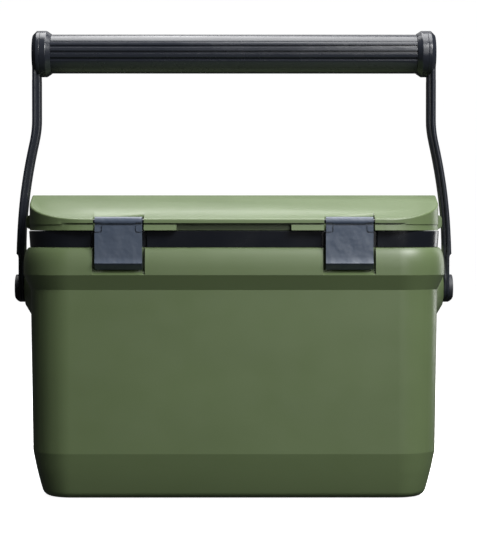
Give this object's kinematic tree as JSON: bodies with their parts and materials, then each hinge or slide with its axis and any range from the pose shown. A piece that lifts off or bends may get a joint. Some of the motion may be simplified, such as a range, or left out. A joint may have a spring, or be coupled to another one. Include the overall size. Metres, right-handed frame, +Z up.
{
  "type": "hand-carried hard cooler",
  "caption": "Insulated hard cooler box with a hinged lid, a swing-over bail handle with a ribbed grip, and pull-down front latches.",
  "frame": {"origin": "on the floor under the middle of the cooler, at the underside of its foot pads", "axes": "+Z up, -Y towards the front with the latches, +X towards the right-hand end as seen from the front; the handle stands upright and the lid is shut at rest"},
  "size_m": [0.4166, 0.297, 0.4298],
  "materials": {
    "green_shell": "satin moulded, fine texture",
    "liner_plastic": "smooth moulded, pale grey",
    "foam": "rigid closed-cell foam",
    "rim_black": "glossy black",
    "handle_plastic": "satin blue-black",
    "latch_plastic": "satin slate grey",
    "black_rubber": "matte rubber",
    "steel": "plain machined steel",
    "brass": "turned brass",
    "nylon": "natural nylon"
  },
  "bodies": {
    "tub": {"tub_shell": "green_shell", "tub_liner": "liner_plastic", "tub_foam": "foam", "rim_frame": "rim_black", "foot_pads": "black_rubber", "hinge_screws_tub": "steel", "hinge_base_left": "rim_black", "hinge_base_right": "rim_black", "latch_keeper_left": "rim_black", "latch_keeper_right": "rim_black", "pivot_insert_left": "brass", "pivot_insert_right": "brass", "pivot_bolt_left": "steel", "pivot_bolt_right": "steel", "pivot_washer_left": "nylon", "pivot_washer_right": "nylon"},
    "lid": {"lid_shell": "green_shell", "lid_liner": "liner_plastic", "lid_foam": "foam", "lid_gasket": "black_rubber", "hinge_screws_lid": "steel", "lid_side_lip_left": "green_shell", "lid_side_lip_right": "green_shell", "hinge_leaf_left": "rim_black", "hinge_leaf_right": "rim_black", "hinge_pin_left": "steel", "hinge_pin_right": "steel", "latch_pin_left": "rim_black", "latch_pin_right": "rim_black"},
    "handle": {"handle_grip": "handle_plastic", "grip_tie_rod": "steel", "handle_arm_left": "handle_plastic", "handle_arm_right": "handle_plastic", "grip_end_cap_left": "handle_plastic", "grip_end_cap_right": "handle_plastic", "grip_screw_left": "steel", "grip_screw_right": "steel", "pivot_cap_left": "handle_plastic", "pivot_cap_right": "handle_plastic"},
    "left_latch": {"latch_left": "latch_plastic"},
    "right_latch": {"latch_right": "latch_plastic"}
  },
  "joints": [
    {"name": "handle_swing", "type": "hinge", "parent": "tub", "child": "handle", "pos_m": [0, 0, 0.1846], "axis": [1, 0, 0], "range_deg": [-130, 130]},
    {"name": "lid_hinge", "type": "hinge", "parent": "tub", "child": "lid", "pos_m": [0, 0.142, 0.2473], "axis": [-1, 0, 0], "range_deg": [0, 34]},
    {"name": "left_latch_pivot", "type": "hinge", "parent": "lid", "child": "left_latch", "pos_m": [-0.1012, -0.142, 0.2473], "axis": [-1, 0, 0], "range_deg": [0, 110]},
    {"name": "right_latch_pivot", "type": "hinge", "parent": "lid", "child": "right_latch", "pos_m": [0.1012, -0.142, 0.2473], "axis": [-1, 0, 0], "range_deg": [0, 110]}
  ]
}
